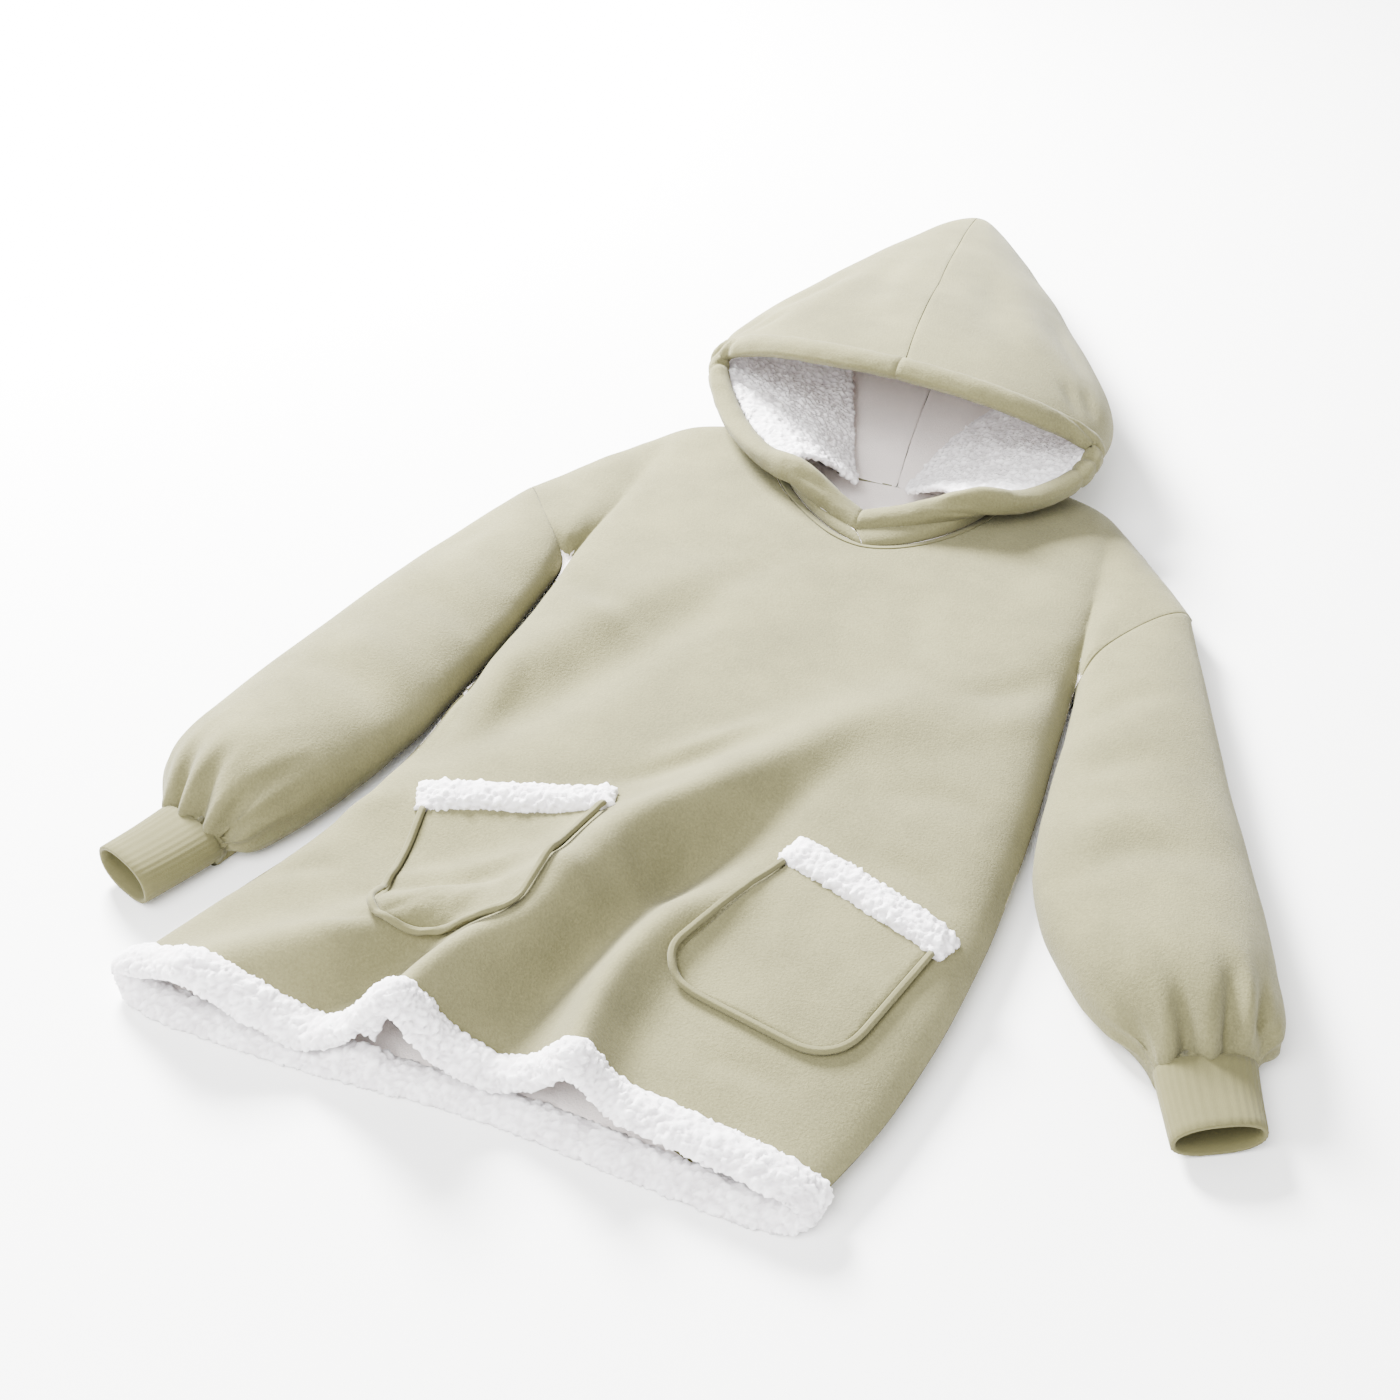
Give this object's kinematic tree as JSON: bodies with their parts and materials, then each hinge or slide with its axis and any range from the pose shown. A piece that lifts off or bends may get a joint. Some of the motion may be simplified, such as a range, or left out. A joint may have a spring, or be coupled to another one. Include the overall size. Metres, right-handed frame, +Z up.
{
  "type": "wearable blanket hoodie",
  "caption": "Oversized hooded blanket top lying flat, with drop shoulders, puffed sleeves, ribbed cuffs, patch pockets and sherpa trims.",
  "frame": {"origin": "on the surface that the garment lies on, under the middle of its bounding box", "axes": "+Z up from the surface, +Y from the hem towards the hood, -X towards the wearer's right sleeve"},
  "size_m": [1.0402, 1.6042, 0.1697],
  "materials": {
    "fleece": "brushed fleece, matt, pale sage",
    "rib_knit": "fine rib knit, matt, yellower sage",
    "sherpa": "curly sherpa pile, white",
    "binding": "folded fleece binding, matt, sage"
  },
  "bodies": {
    "root": {"body_front": "fleece", "body_back": "fleece", "sleeve_right": "fleece", "sleeve_left": "fleece", "cuff_right": "rib_knit", "cuff_left": "rib_knit", "hood_right": "fleece", "hood_left": "fleece", "neck_binding": "binding", "hem_band": "sherpa", "hood_rim_right": "fleece", "hood_rim_left": "fleece", "hood_facing_right": "sherpa", "hood_facing_left": "sherpa", "pocket_right": "fleece", "pocket_left": "fleece", "pocket_trim_right": "sherpa", "pocket_trim_left": "sherpa", "pocket_piping_right": "binding", "pocket_piping_left": "binding"}
  },
  "joints": []
}
